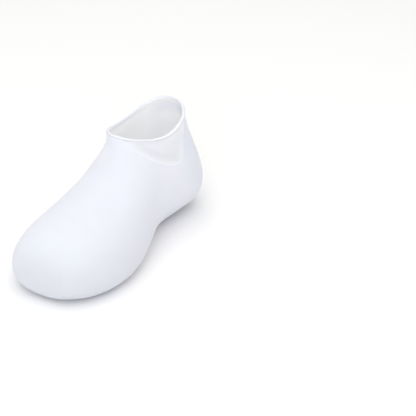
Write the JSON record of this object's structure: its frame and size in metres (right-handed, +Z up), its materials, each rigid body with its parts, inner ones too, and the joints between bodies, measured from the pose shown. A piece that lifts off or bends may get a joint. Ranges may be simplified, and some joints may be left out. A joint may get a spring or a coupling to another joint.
{
  "type": "overshoe",
  "caption": "Slip-on overshoe of stretchy white silicone, moulded in one hollow piece with a closed round toe and a rolled bead round its mouth.",
  "frame": {"origin": "middle of the overshoe's box on the floor that it stands on", "axes": "+Z up, the toe points towards -Y, the inner side of the foot (a right foot) is towards +X"},
  "size_m": [0.121, 0.2704, 0.1235],
  "materials": {
    "silicone": "satin, slightly translucent white silicone"
  },
  "bodies": {
    "root": {"overshoe": "silicone"}
  },
  "joints": []
}
